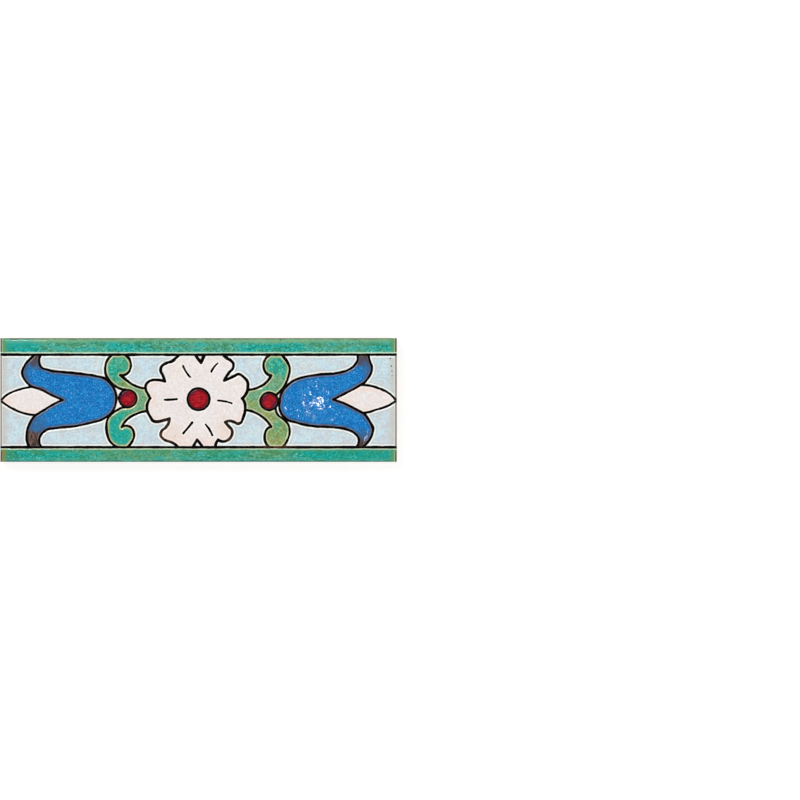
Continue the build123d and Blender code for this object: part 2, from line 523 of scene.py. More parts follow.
def glaze_piece(name, cells, seed):
    """Closed pools of one glaze, flat on the clay until the glaze rule raises them."""
    sizes = bpy.context.scene.border_tile_sizes
    radius = sizes.face_edge_radius / MM
    height = sizes.glaze_height / MM
    step = sizes.mesh_step / MM
    shell = Shell()
    for loops in cells:
        tree = rim_tree(loops)

        # An even grid in the middle, rows over the tile's rounding and rows along the rims
        spots = grid(loops, step)
        spots = spots[edge_distance(spots) > 1.1 * radius]
        spots = spots[rim_distance(tree, spots) > POOL_ROWS[-1] + 0.5 * step]
        rows = edge_rows(loops[0], radius)
        rows = rows[rim_distance(tree, rows) > 0.1]
        extra = np.concatenate([rows_inside(loops, tree, POOL_ROWS), spots, rows])
        flat, faces = triangles(loops, extra)
        heights = envelope(flat, radius) - height
        floor = TOP - height - BEDDING
        shell.cell(flat, faces, rim_distance(tree, flat), heights, floor, hem(*GLAZE_RUN, seed))
    return shell.finish(name)


# Rules, in Geometry Nodes


def new_rule(title, values):
    """New node group that takes a geometry, the values, a seed and a material, and its inputs."""
    tree = bpy.data.node_groups.new(title, "GeometryNodeTree")
    face = tree.interface
    face.new_socket("Geometry", in_out="INPUT", socket_type="NodeSocketGeometry")
    for name, value in values.items():
        face.new_socket(name, in_out="INPUT", socket_type="NodeSocketFloat").default_value = value
    face.new_socket("Seed", in_out="INPUT", socket_type="NodeSocketInt").default_value = 1
    face.new_socket("Material", in_out="INPUT", socket_type="NodeSocketMaterial")
    face.new_socket("Geometry", in_out="OUTPUT", socket_type="NodeSocketGeometry")
    return tree, add(tree, "NodeGroupInput").outputs


def close_rule(tree, geometry, material):
    """Ends a node group: its geometry is shaded smooth, made real and given the material."""
    smooth = add(tree, "GeometryNodeSetShadeSmooth", {"Geometry": geometry})
    real = add(tree, "GeometryNodeRealizeInstances", {"Geometry": smooth})
    done = add(tree, "GeometryNodeSetMaterial", {"Geometry": real, "Material": material})
    add(tree, "NodeGroupOutput", {"Geometry": done})
    return tree


def glaze_rule(values):
    """Node group that raises flat pools into glaze with rounded rims, waves and burst bubbles."""
    tree, given = new_rule("Glaze pool", values)
    place = add(tree, "GeometryNodeInputPosition")
    rim = add(tree, "GeometryNodeInputNamedAttribute", {"Name": "rim"}, data_type="FLOAT")
    upper = add(tree, "GeometryNodeInputNamedAttribute", {"Name": "upper"}, data_type="FLOAT")
    metres = add(tree, MATH, (rim, MM), operation="MULTIPLY")

    # Quarter round from the line up to full height
    near = add(tree, MATH, (metres, given["Rim Width"]), operation="DIVIDE", use_clamp=True)
    rest = add(tree, MATH, (2.0, near), operation="SUBTRACT")
    square = add(tree, MATH, (near, rest), operation="MULTIPLY")
    quarter = add(tree, MATH, (square,), operation="SQRT")
    lift = add(tree, MATH, (given["Height"], quarter), operation="MULTIPLY")

    # Slight sag from the rim to the middle
    reach = add(tree, MATH, (given["Rim Width"], 4.0), operation="MULTIPLY")
    sag = add(tree, RANGE, {
        "Value": metres, "From Max": reach, "To Max": given["Sag"]}, interpolation_type=SMOOTH)
    lift = add(tree, MATH, (lift, sag), operation="SUBTRACT")

    # Waves, kept below the rim's height
    seed = add(tree, MATH, (given["Seed"], 7.3), operation="MULTIPLY")
    scale = add(tree, MATH, (1.0, given["Ripple Length"]), operation="DIVIDE")
    waves = add(tree, "ShaderNodeTexNoise", {
        "Vector": place, "W": seed, "Scale": scale, "Detail": 1.0, "Roughness": 0.5}, noise_dimensions="4D")
    wave = add(tree, MATH, (waves, 0.62), operation="SUBTRACT")
    wave = add(tree, MATH, (wave, given["Ripple Height"]), operation="MULTIPLY")
    lift = add(tree, MATH, (wave, near, lift), operation="MULTIPLY_ADD")

    # Burst bubbles
    dots = add(tree, "GeometryNodeDistributePointsOnFaces", {
        "Mesh": given["Geometry"], "Density": given["Pit Density"], "Seed": given["Seed"]})
    gap = add(tree, "GeometryNodeProximity", {"Geometry": dots}, target_element="POINTS")
    bowl = add(tree, RANGE, {
        "Value": gap.outputs["Distance"], "From Max": given["Pit Radius"], "To Min": given["Pit Depth"],
        "To Max": 0.0}, interpolation_type=SMOOTH)
    bowl = add(tree, MATH, (bowl, near), operation="MULTIPLY")
    lift = add(tree, MATH, (lift, bowl), operation="SUBTRACT")

    lift = add(tree, MATH, (lift, upper), operation="MULTIPLY")
    offset = add(tree, "ShaderNodeCombineXYZ", {"Z": lift})
    moved = add(tree, "GeometryNodeSetPosition", {"Geometry": given["Geometry"], "Offset": offset})
    return close_rule(tree, moved, given["Material"])


def speck_rule(values):
    """Node group that sets a flat melted grain on every point, each turned and stretched in its own way."""
    tree, given = new_rule("Iron specks", values)
    size = add(tree, "GeometryNodeInputNamedAttribute", {"Name": "size"}, data_type="FLOAT")
    turn = add(tree, "FunctionNodeRandomValue", {
        "Min": (0, 0, 0), "Max": (0, 0, math.tau), "Seed": given["Seed"]}, data_type="FLOAT_VECTOR")
    long = add(tree, "FunctionNodeRandomValue", {2: 0.55, 3: 1.0, "Seed": given["Seed"]}, data_type="FLOAT")
    width = add(tree, MATH, (size, long), operation="MULTIPLY")
    scale = add(tree, "ShaderNodeCombineXYZ", {"X": size, "Y": width, "Z": given["Thickness"]})
    ball = add(tree, "GeometryNodeMeshIcoSphere", {"Radius": 1.0, "Subdivisions": 2})
    points = add(tree, "GeometryNodeMeshToPoints", {"Mesh": given["Geometry"]})
    grains = add(tree, "GeometryNodeInstanceOnPoints", {
        "Points": points, "Instance": ball, "Rotation": turn, "Scale": scale})
    return close_rule(tree, grains, given["Material"])


def follow_rule(piece, rule, values):
    """Runs a node group on a piece with the inputs named, and leaves a plain mesh."""
    modifier = piece.modifiers.new(rule.name, "NODES")
    modifier.node_group = rule
    for item in rule.interface.items_tree:
        if item.item_type == "SOCKET" and item.in_out == "INPUT" and item.name in values:
            modifier[item.identifier] = values[item.name]
    bpy.context.view_layer.update()
    graph = bpy.context.evaluated_depsgraph_get()
    mesh = bpy.data.meshes.new_from_object(
        piece.evaluated_get(graph), preserve_all_data_layers=True, depsgraph=graph)
    for slot in reversed(range(len(mesh.materials))):
        if mesh.materials[slot] is None:
            mesh.materials.pop(index=slot)
    piece.modifiers.remove(modifier)
    piece.data = mesh
    mesh.name = piece.name


# Finishes


class Finish:
    """A material being made. Its hue grows coat by coat, from patterns that this tile's finishes share."""

    def __init__(self, name, hue):
        self.material = bpy.data.materials.new(name)
        self.tree = emptied(self.material)
        self.place = add(self.tree, "ShaderNodeTexCoord").outputs["Object"]
        self.hue = tuple(hue)

    def distance(self, title):
        """Millimetres from the pool's rim, the tile's edge or its end, or to the north of its middle line."""
        return add(self.tree, "ShaderNodeAttribute", attribute_name=title).outputs["Fac"]

    def clouds(self, seed, size, stretch=(1, 1, 1), detail=3.0):
        """Clouds, from 0 to 1, of a size in millimetres. Each seed has its own."""
        place = add(self.tree, "ShaderNodeMapping", {
            "Vector": self.place, "Location": (0.31 * seed, 0.17 * seed, 0.23 * seed), "Scale": stretch})
        return add(self.tree, "ShaderNodeTexNoise", {
            "Vector": place, "Scale": per_mm(size), "Detail": detail, "Roughness": 0.58})

    def blend(self, ground, hue, value, start, full, share=1.0, within=1.0):
        """A ground with a hue over it: none where the value is at start, its share where it is at full."""
        cover = add(self.tree, RANGE, {
            "Value": value, "From Min": start, "From Max": full, "To Max": share}, interpolation_type=SMOOTH)
        cover = add(self.tree, MATH, (cover, within), operation="MULTIPLY")
        hues = [colour(part) if isinstance(part, str) else part for part in (ground, hue)]
        return add(self.tree, "ShaderNodeMix", {0: cover, 6: hues[0], 7: hues[1]}, data_type="RGBA")

    def coat(self, hue, value, start, full, share=1.0, within=1.0):
        """Lays a hue over what is there, as blend does."""
        self.hue = self.blend(self.hue, hue, value, start, full, share, within)

    def frayed(self, value, seed, size, amount):
        """The value pushed up and down by clouds, so that what follows it has an uneven edge."""
        push = add(self.tree, RANGE, {
            "Value": self.clouds(seed, size), "To Min": -amount / 2, "To Max": amount / 2})
        return add(self.tree, MATH, (value, push), operation="ADD")

    def patches(self, seed, *places):
        """Uneven patches, from 0 to 1, each given by its middle and its two half lengths in millimetres."""
        found = 9.0
        for x, y, half_x, half_y in places:
            spot = add(self.tree, "ShaderNodeMapping", {
                "Vector": self.place, "Location": (-x / half_x, -y / half_y, 0),
                "Scale": (per_mm(half_x), per_mm(half_y), 0)})
            far = add(self.tree, "ShaderNodeVectorMath", (spot,), operation="LENGTH")
            found = add(self.tree, MATH, (found, far), operation="MINIMUM")
        ragged = self.frayed(found, seed, 2.8, 1.5)
        return add(self.tree, RANGE, {
            "Value": ragged, "From Min": 1.35, "From Max": 0.45}, interpolation_type=SMOOTH)

    def patch(self, hue, share, seed, *places):
        """Lays a hue in uneven patches."""
        self.coat(hue, self.patches(seed, *places), 0, 1, share)

    def mottle(self, dark, light, seed, share=0.85, size=1.05, stretch=(1, 1, 1)):
        """Clouds of darker and lighter glaze a grain or two of glass across."""
        grain = self.clouds(seed, size, stretch)
        self.coat(dark, grain, 0.50, 0.37, share)
        self.coat(light, grain, 0.52, 0.66, share)

    def frit_and_glints(self, light, seed, spacing=1.5):
        """Small light spots: partly grains of glass that haven't quite melted, partly painted glints where
        the glaze catches light.
        """
        place = add(self.tree, "ShaderNodeMapping", {"Vector": self.place, "Location": (0.2 * seed, 0, 0)})
        cells = add(self.tree, "ShaderNodeTexVoronoi", {"Vector": place, "Scale": per_mm(spacing)})
        kept = add(self.tree, RANGE, {
            "Value": self.clouds(seed + 0.5, 2.6), "From Min": 0.50, "From Max": 0.58})
        self.coat(light, cells.outputs["Distance"], 0.26, 0.12, 0.8, kept)

    def bleed(self, rim, reach=0.24):
        """The line's manganese bled into the pool's edge, further in some places than in others."""
        ragged = self.frayed(self.frayed(rim, 8.1, 7.0, 0.8), 8.4, 1.5, 0.3)
        self.coat("060404", ragged, reach, reach - 0.14)

    def relief(self, *layers):
        """Bump from patterns, each with its height in millimetres."""
        height = 0.0
        for pattern, millimetres in layers:
            height = add(self.tree, MATH, (pattern, millimetres * MM, height), operation="MULTIPLY_ADD")
        return add(self.tree, "ShaderNodeBump", {"Height": height, "Strength": 1.0, "Distance": 1.0})

    def fired(self, bump, roughness, specular=0.5):
        """The material, with its hue and relief on the shader."""
        shader = add(self.tree, "ShaderNodeBsdfPrincipled", {
            "Base Color": self.hue, "Normal": bump, "Roughness": roughness, "IOR": 1.5,
            "Specular IOR Level": specular})
        add(self.tree, "ShaderNodeOutputMaterial", {"Surface": shader})
        return self.material

    def glossy(self, seed, roughness):
        """The material as a glossy glaze, with the faint unevenness that all of them have."""
        return self.fired(self.relief((self.clouds(seed, 3.0, (1, 0.5, 1), 0.0), 0.02)), roughness)


def band_glaze(colours):
    """Copper glaze, fired glossy: turquoise where thick, olive where it thins at the tile's edge and ends."""
    finish = Finish("copper_turquoise_glaze", colours.band)
    rim, edge, end, north = [finish.distance(title) for title in ("rim", "edge", "end", "north")]
    upper = add(finish.tree, RANGE, {"Value": north, "From Min": -5, "From Max": 5})
    lower = add(finish.tree, RANGE, {"Value": north, "From Min": 5, "From Max": -5})

    # Streaks and clouds along the band
    finish.coat("62A685", finish.clouds(1, 2.2, (0.12, 1, 1)), 0.44, 0.62, 0.55)
    finish.patch(
        "66A280", 0.75, 1.2, (-66, 28, 16, 6), (-5, 28, 30, 7), (72, 28, 20, 6), (-25, -28, 26, 7),
        (36, -28, 15, 6), (2, -25, 16, 4))
    finish.coat("3F8A55", lower, 0, 1, 0.2)
    finish.patch("8C9A40", 0.45, 1.3, (-34, -27, 26, 5), (36, -27, 10, 4))
    finish.patch("14A498", 0.5, 1.8, (-90, 27, 7, 5), (-36, 27, 14, 5), (38, 27, 16, 5), (-84, -28, 13, 4))
    bright = finish.patches(1.9, (80, -28, 28, 7), (-94, 29, 13, 6))
    finish.coat("0A9C92", bright, 0, 1, 0.7)
    finish.mottle("0C7566", "5AC8B0", 1.4, 0.85, 0.9, (0.7, 1, 1))
    finish.mottle("3A8652", "22ACA6", 1.6, 0.65, 2.2, (0.3, 1, 1))
    # Light specks: partly unmelted grains, partly painted glints
    finish.frit_and_glints("8CE6D2", 1)
    finish.coat("089A80", finish.clouds(1.7, 9), 0.40, 0.60, 0.3, lower)
    finish.coat("0A9C92", bright, 0, 1, 0.25)

    # Thin glaze at the long edge, where the clay shines through
    run = finish.frayed(finish.frayed(edge, 2, 3.0, 2.4), 2.7, 26, 3.0)
    finish.coat("66A57B", run, 3.4, 1.2, 0.85, upper)
    finish.coat("8AB48A", run, 2.7, 0.9, 0.55, upper)
    finish.coat("62A490", run, 2.4, 0.8, 0.35, lower)
    finish.patch("2AA69A", 0.6, 2.9, (-93, 30, 11, 4))
    # Darker along the very edge of the face
    dark = finish.frayed(edge, 2.2, 5.0, 1.8)
    finish.coat("4A5A38", dark, 1.1, 0.3, 0.9, upper)
    finish.coat("126C5E", dark, 1.1, 0.3, 0.9, lower)

    # Thin glaze at the ends, with a pale rim and a dark outer line, and an ochre run at one corner
    finish.coat("5A9260", finish.frayed(end, 2.4, 3.0, 3.2), 4.6, 1.8, 0.8)
    finish.coat("A9BE8E", end, 1.75, 1.2, 0.7)
    finish.patch("8E7A38", 0.85, 2.6, (-101.6, -27, 3.4, 6))
    finish.coat("38461E", end, 1.15, 0.75, 0.95)

    # Along the dark lines
    finish.coat("4E9668", rim, 2.4, 1.1, 0.5, lower)
    # Paler along the dark lines, in a narrow ragged edge
    pale_edge = finish.frayed(rim, 2.8, 4.0, 0.7)
    finish.coat("CEDAC0", pale_edge, 0.98, 0.62, 0.75, lower)
    finish.coat("C2DEC4", pale_edge, 1.08, 0.66, 0.92, upper)
    finish.bleed(rim, 0.30)
    return finish.glossy(1, 0.05)


def field_glaze(colours):
    """Opaque tin glaze, fired glossy: pale blue grey, whiter along the lines."""
    finish = Finish("tin_grey_glaze", colours.field)
    rim, end = finish.distance("rim"), finish.distance("end")
    finish.coat("C2DCEA", finish.clouds(3, 6), 0.38, 0.64, 0.7)
    finish.coat("D6D9D4", finish.clouds(3.2, 4), 0.52, 0.68, 0.6)
    finish.mottle("9DB4BA", "E6F3F8", 3.4, 0.42, 0.85)
    finish.mottle("C4C0C4", "C8E4E4", 3.6, 0.4, 4.5)
    finish.coat("C2C2BF", rim, 2.0, 1.3, 0.5)
    finish.coat("C4BFB4", end, 5.5, 1.8, 0.65)
    # Whiter along the dark lines
    pale_edge = finish.blend("F0F5F2", "F4E0D6", finish.clouds(3.8, 4), 0.54, 0.64, 0.8)
    finish.coat(pale_edge, rim, 1.15, 0.70, 0.95)
    finish.bleed(rim)
    finish.coat("E6E0D8", end, 1.5, 1.2, 0.8)
    finish.coat("7C756C", end, 1.0, 0.8, 0.95)
    return finish.glossy(2, 0.08)


def tulip_glaze(colours):
    """Cobalt glaze, deep and glossy, with light specks that are partly unmelted grains and partly painted
    glints, burnt brown at the petals' tips.
    """
    finish = Finish("cobalt_glaze", colours.tulip)
    rim = finish.distance("rim")
    finish.coat("1470B6", finish.clouds(4, 8), 0.36, 0.66, 0.6)
    finish.mottle("0A4F98", "4C9EDC", 4.2, 0.75, 0.8)
    finish.mottle("1868B2", "3098DC", 4.4, 0.35, 2.4)
    # Light specks: partly unmelted grains, partly painted glints
    finish.frit_and_glints("94CCF4", 4, 1.3)

    # Grey and brown where the line has mixed with the blue
    mixed = finish.blend("6C7A94", "6A5854", finish.clouds(4.6, 4), 0.47, 0.60)
    finish.coat("2A4E80", finish.frayed(rim, 4.8, 2.0, 0.6), 1.5, 0.8, 0.65)
    finish.coat(mixed, finish.frayed(rim, 4.9, 5.0, 0.9), 0.85, 0.45, 0.75)

    # Tips, dull at first, then singed grey and burnt brown
    finish.patch(
        "405E80", 0.55, 4.7, (-84.5, -13.5, 8, 8.5), (-89, 13.5, 3, 10), (87, 14, 3, 9), (84.5, -20, 7, 5),
        (-83.5, 18.5, 4, 4))
    finish.patch(
        "504A52", 0.92, 5, (-85.5, -21, 7, 5.5), (-83.5, 23, 5.5, 6), (84.6, 23.6, 6.5, 6.5),
        (84.8, -24.4, 8, 5.2))
    embers = finish.blend("3A2C26", "80604C", finish.clouds(5.4, 1.1, (1, 0.35, 1)), 0.42, 0.60)
    finish.patch(
        embers, 0.8, 5.2, (-85.6, -21.8, 6.4, 6), (-83.6, 25, 4.4, 4), (84.6, 25.2, 6, 4),
        (84.4, -26.2, 8, 5))
    finish.bleed(rim, 0.09)
    return finish.glossy(3, 0.035)


def scroll_glaze(colours):
    """Copper glaze, glossy: turquoise in the thick heads, olive in the thin necks, cream along the lines."""
    finish = Finish("copper_green_glaze", colours.scroll)
    rim = finish.distance("rim")
    finish.coat("55AD90", finish.clouds(6, 7), 0.38, 0.62, 0.6)
    finish.patch("12A496", 0.8, 6.1, (-41.6, -16.5, 9, 11), (-43.5, 13.5, 5, 7), (40.5, 16, 5, 6))
    finish.patch("8CA67C", 0.7, 6.2, (-30, -1, 4, 10), (28.5, 1, 5, 9), (39, 9, 6, 4), (-37, 8.5, 5, 3))
    finish.patch(
        "969A48", 0.85, 6.3, (37.5, -20.5, 9, 9), (34, -9.5, 7, 6), (-35.5, 8.6, 4.5, 2.6), (43.5, -16, 3, 8),
        (27, -3, 3, 4))
    finish.patch("B8A45A", 0.6, 6.9, (35, -7.8, 5.5, 5), (38, -22.5, 9, 3.4))
    finish.mottle("1E7A60", "80CBA4", 6.4, 0.68)
    finish.mottle("6C8A4A", "38B89C", 6.5, 0.3, 2.4)
    finish.patch("0AA49A", 0.5, 6.0, (-41, -18, 9, 9))
    finish.coat("6F9468", rim, 1.6, 1.0, 0.5)
    cream = finish.blend("D8DDB0", "B9C28C", finish.clouds(6.6, 3), 0.44, 0.60)
    finish.coat(cream, finish.frayed(rim, 6.7, 4.0, 1.1), 0.90, 0.55, 0.8)
    finish.bleed(rim, 0.14)
    return finish.glossy(4, 0.05)


def white_glaze(colours):
    """Opaque tin glaze, warm white and glossy, faintly peach where it thins at the lines."""
    finish = Finish("tin_white_glaze", colours.white)
    rim = finish.distance("rim")
    finish.coat("E8E5E6", finish.clouds(7, 7), 0.4, 0.64, 0.7)
    finish.mottle("DACFCC", "F7F4F1", 7.2, 0.45)
    blush = finish.patches(
        7.4, (-22, -14, 5, 6), (-12, -21, 9, 3.5), (15, -15, 6, 3), (-22.5, 4, 3, 8), (3, -22, 9, 3),
        (22, -10, 3, 5), (-97, 0, 6, 3), (-87, -7, 14, 2.4), (87, 5.5, 14, 2.4), (74, -1, 5, 2),
        (90, -6, 12, 2))
    finish.coat("EECFC2", rim, 3.4, 0.8, 0.6, blush)
    finish.patch("E6D2C4", 0.5, 7.6, (-14, -17, 5, 6), (14, -15, 6, 6))
    finish.coat("F9F3EE", rim, 1.0, 0.6, 0.6)
    finish.bleed(rim, 0.17)
    return finish.glossy(5, 0.06)


def red_glaze(colours):
    """Selenium red glaze, deep and wet, wine dark at its rim and where it has run thin."""
    finish = Finish("selenium_red_glaze", colours.red)
    rim = finish.distance("rim")
    finish.mottle("740C18", "C42E38", 8, 0.8, 1.0, (0.5, 1, 1))
    finish.patch(
        "5A1C36", 0.7, 8.2, (-38.4, 3.2, 3, 2.2), (-3.2, 4.6, 3.6, 2.4), (39, -3, 2.2, 3),
        (33.6, 1.6, 1.6, 3))
    finish.coat("3C0A14", finish.frayed(rim, 8.3, 3.0, 0.6), 1.4, 0.35, 0.85)
    finish.bleed(rim, 0.16)
    return finish.glossy(6, 0.05)


def line_finish(colours):
    """Manganese in wax resist, burnt to a matt crust that is browner where it is thin."""
    finish = Finish("manganese_line", colours.line)
    finish.coat("301E14", finish.clouds(9, 7), 0.58, 0.72, 0.6)
    rust = finish.blend("5E3C28", "2A1A12", finish.clouds(9.3, 2.2), 0.46, 0.60)
    finish.patch(rust, 0.75, 9.1, (-17, -15.5, 5, 7), (16.5, -16, 5, 7), (40, -24, 7, 2))
    return finish.fired(finish.relief((finish.clouds(9.2, 0.6), 0.05)), 0.85, 0.04)


def speck_finish():
    """Iron grains from the clay that have melted into the glaze: dark brown and glossy."""
    finish = Finish("iron_speck", colour("2A2622"))
    grain = finish.clouds(9.4, 0.5)
    finish.coat("4A4A46", grain, 0.4, 0.6)
    return finish.fired(finish.relief((grain, 0.01)), 0.2)


def clay_finish(colours):
    """Pressed and fired earthenware: matt, dry and finely gritty, with a few grains of grog."""
    finish = Finish("fired_earthenware", colours.clay)
    finish.coat("CDB494", finish.clouds(9.5, 18), 0.35, 0.65)
    finish.mottle("B59A78", "E6D5BC", 9.6, 0.6)
    grog = add(finish.tree, "ShaderNodeTexVoronoi", {"Vector": finish.place, "Scale": per_mm(2.4)})
    finish.coat("9A6E4C", grog, 0.17, 0.12, 0.7)
    return finish.fired(finish.relief((finish.clouds(9.7, 0.8), 0.10), (finish.clouds(9.8, 5), 0.12)), 0.85)


# The glazes, each with the seed of its waves and bubbles
GLAZES = {
    "band": (1, band_glaze), "field": (2, field_glaze), "tulip": (3, tulip_glaze),
    "scroll": (4, scroll_glaze), "white": (5, white_glaze), "red": (6, red_glaze),
}


# Operators


def placed(piece):
    """Parents a finished piece to the tile's root."""
    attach(piece, "root")
    return piece


def make_pools(scene, kind):
    """Makes the pools of one glaze."""
    sizes = scene.border_tile_sizes
    values = {
        "Height": sizes.pool_height, "Rim Width": sizes.rim_width, "Sag": sizes.sag,
        "Ripple Height": sizes.ripple_height, "Ripple Length": sizes.ripple_length,
        "Pit Radius": sizes.pit_radius, "Pit Depth": sizes.pit_depth, "Pit Density": sizes.pit_density}
    seed, finish = GLAZES[kind]
    piece = glaze_piece(kind + "_glaze", cell_groups()[kind], seed)
    rule = bpy.data.node_groups.get("Glaze pool") or glaze_rule(values)
    material = finish(scene.border_tile_colours)
    follow_rule(piece, rule, {**values, "Seed": seed, "Material": material})
    placed(piece)


class BORDERTILE_OT_body(bpy.types.Operator):
    """Clay body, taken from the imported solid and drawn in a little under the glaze"""
    bl_idname = "border_tile.body"
    bl_label = "Clay Body"

    def execute(self, context):
        sizes = context.scene.border_tile_sizes
        clay = (TOP - sizes.glaze_height / MM - CLAY_CLEARANCE) * MM
        mesh = cut_solid(CLAY_DRAWN_FROM)
        for vert in mesh.verts:
            share = min(1, max(0, (vert.co.z / MM - CLAY_DRAWN_FROM) / CLAY_SLOPE))
            for axis, edge in enumerate(EDGES):
                if abs(vert.co[axis]) > (edge - CLAY_MARGIN) * MM:
                    vert.co[axis] -= math.copysign(CLAY_INSET * MM * share, vert.co[axis])
            vert.co.z = min(vert.co.z, clay)
        bmesh.ops.remove_doubles(mesh, verts=mesh.verts, dist=20 * WELD)
        bmesh.ops.dissolve_degenerate(mesh, edges=mesh.edges, dist=WELD)
        data = bpy.data.meshes.new("clay_body")
        mesh.to_mesh(data)
        mesh.free()
        data.materials.append(clay_finish(context.scene.border_tile_colours))
        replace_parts(placed(linked("clay_body", data)), NODE)
        return {"FINISHED"}


class BORDERTILE_OT_lines(bpy.types.Operator):
    """Dark lines between the glazes, low and slightly crowned"""
    bl_idname = "border_tile.lines"
    bl_label = "Dark Lines"

    def execute(self, context):
        sizes = context.scene.border_tile_sizes
        clay = TOP - sizes.glaze_height / MM
        groups = cell_groups()

        # The strip between the two bands, a little under their rims, with the pools left open in it
        bands = [cell[0][:, 1] for cell in groups["band"]]
        top = max(north.min() for north in bands) + LINE_OVERLAP
        bottom = min(north.max() for north in bands) - LINE_OVERLAP
        strip = np.array([(-EDGE_X, bottom), (EDGE_X, bottom), (EDGE_X, top), (-EDGE_X, top)])
        pools = [loop for kind in groups if kind != "band" for cell in groups[kind] for loop in cell]
        loops = [divided(strip, OUTLINE_STEP)] + pools
        tree = rim_tree(loops)
        flat, faces = triangles(loops, rows_inside(loops, tree, LINE_ROWS))
        rims = rim_distance(tree, flat)

        # Lowest at its rims, and under the tile's rounding
        crown = sizes.line_rise / MM * np.clip(0.35 + rims / 0.5, 0, 1)
        heights = np.minimum(clay + crown, envelope(flat, sizes.face_edge_radius / MM) - BEDDING)
        shell = Shell()
        shell.cell(flat, faces, rims, heights, clay - BEDDING, hem(*LINE_RUN, 9))
        piece = shell.finish("dark_lines")
        piece.data.materials.append(line_finish(context.scene.border_tile_colours))
        piece.data.shade_smooth()
        placed(piece)
        return {"FINISHED"}


class BORDERTILE_OT_bands(bpy.types.Operator):
    """Turquoise bands along both long edges"""
    bl_idname = "border_tile.bands"
    bl_label = "Bands"

    def execute(self, context):
        make_pools(context.scene, "band")
        return {"FINISHED"}


class BORDERTILE_OT_field(bpy.types.Operator):
    """Pale ground behind the ornament"""
    bl_idname = "border_tile.field"
    bl_label = "Field"

    def execute(self, context):
        make_pools(context.scene, "field")
        return {"FINISHED"}


class BORDERTILE_OT_tulips(bpy.types.Operator):
    """Two cobalt tulips"""
    bl_idname = "border_tile.tulips"
    bl_label = "Tulips"

    def execute(self, context):
        make_pools(context.scene, "tulip")
        return {"FINISHED"}


class BORDERTILE_OT_scrolls(bpy.types.Operator):
    """Green scrolls behind the beads"""
    bl_idname = "border_tile.scrolls"
    bl_label = "Scrolls"

    def execute(self, context):
        make_pools(context.scene, "scroll")
        return {"FINISHED"}


class BORDERTILE_OT_whites(bpy.types.Operator):
    """White rosette, lozenges and small corners"""
    bl_idname = "border_tile.whites"
    bl_label = "Rosette and Lozenges"

    def execute(self, context):
        make_pools(context.scene, "white")
        return {"FINISHED"}


class BORDERTILE_OT_reds(bpy.types.Operator):
    """Red beads and the rosette's eye"""
    bl_idname = "border_tile.reds"
    bl_label = "Beads and Eye"

    def execute(self, context):
        make_pools(context.scene, "red")
        return {"FINISHED"}


class BORDERTILE_OT_specks(bpy.types.Operator):
    """Iron specks melted into the glaze"""
    bl_idname = "border_tile.specks"
    bl_label = "Iron Specks"

    def execute(self, context):
        draw = np.random.default_rng(SCATTER_SEED)
        spots = list(SPECKS)
        for _ in range(SCATTERED_SPECKS):
            x, y = [draw.uniform(-1, 1) * (edge - SCATTER_MARGIN) for edge in EDGES]
            spots.append((x, y, draw.uniform(*SCATTERED_RADII)))
        graph = context.evaluated_depsgraph_get()
        glazes = [BVHTree.FromObject(bpy.data.objects[kind + "_glaze"], graph) for kind in GLAZES]

        # Each lies on the highest glaze under it, or nowhere where there is only a line
        points, radii = [], []
        for x, y, radius in spots:
            hits = [tree.ray_cast(Vector((x, y, 2 * TOP)) * MM, Vector((0, 0, -1)))[0] for tree in glazes]
            heights = [hit.z for hit in hits if hit and hit.z > (TOP - 0.2) * MM]
            if heights:
                points.append((x * MM, y * MM, max(heights) - 0.4 * SPECK_THICKNESS * MM))
                radii.append(radius * MM)
        mesh = bpy.data.meshes.new("iron_specks")
        mesh.from_pydata(points, [], [])
        mesh.attributes.new("size", "FLOAT", "POINT").data.foreach_set("value", np.array(radii, np.float32))
        piece = linked("iron_specks", mesh)
        values = {"Thickness": SPECK_THICKNESS * MM}
        follow_rule(piece, speck_rule(values), {**values, "Seed": 3, "Material": speck_finish()})
        placed(piece)
        return {"FINISHED"}


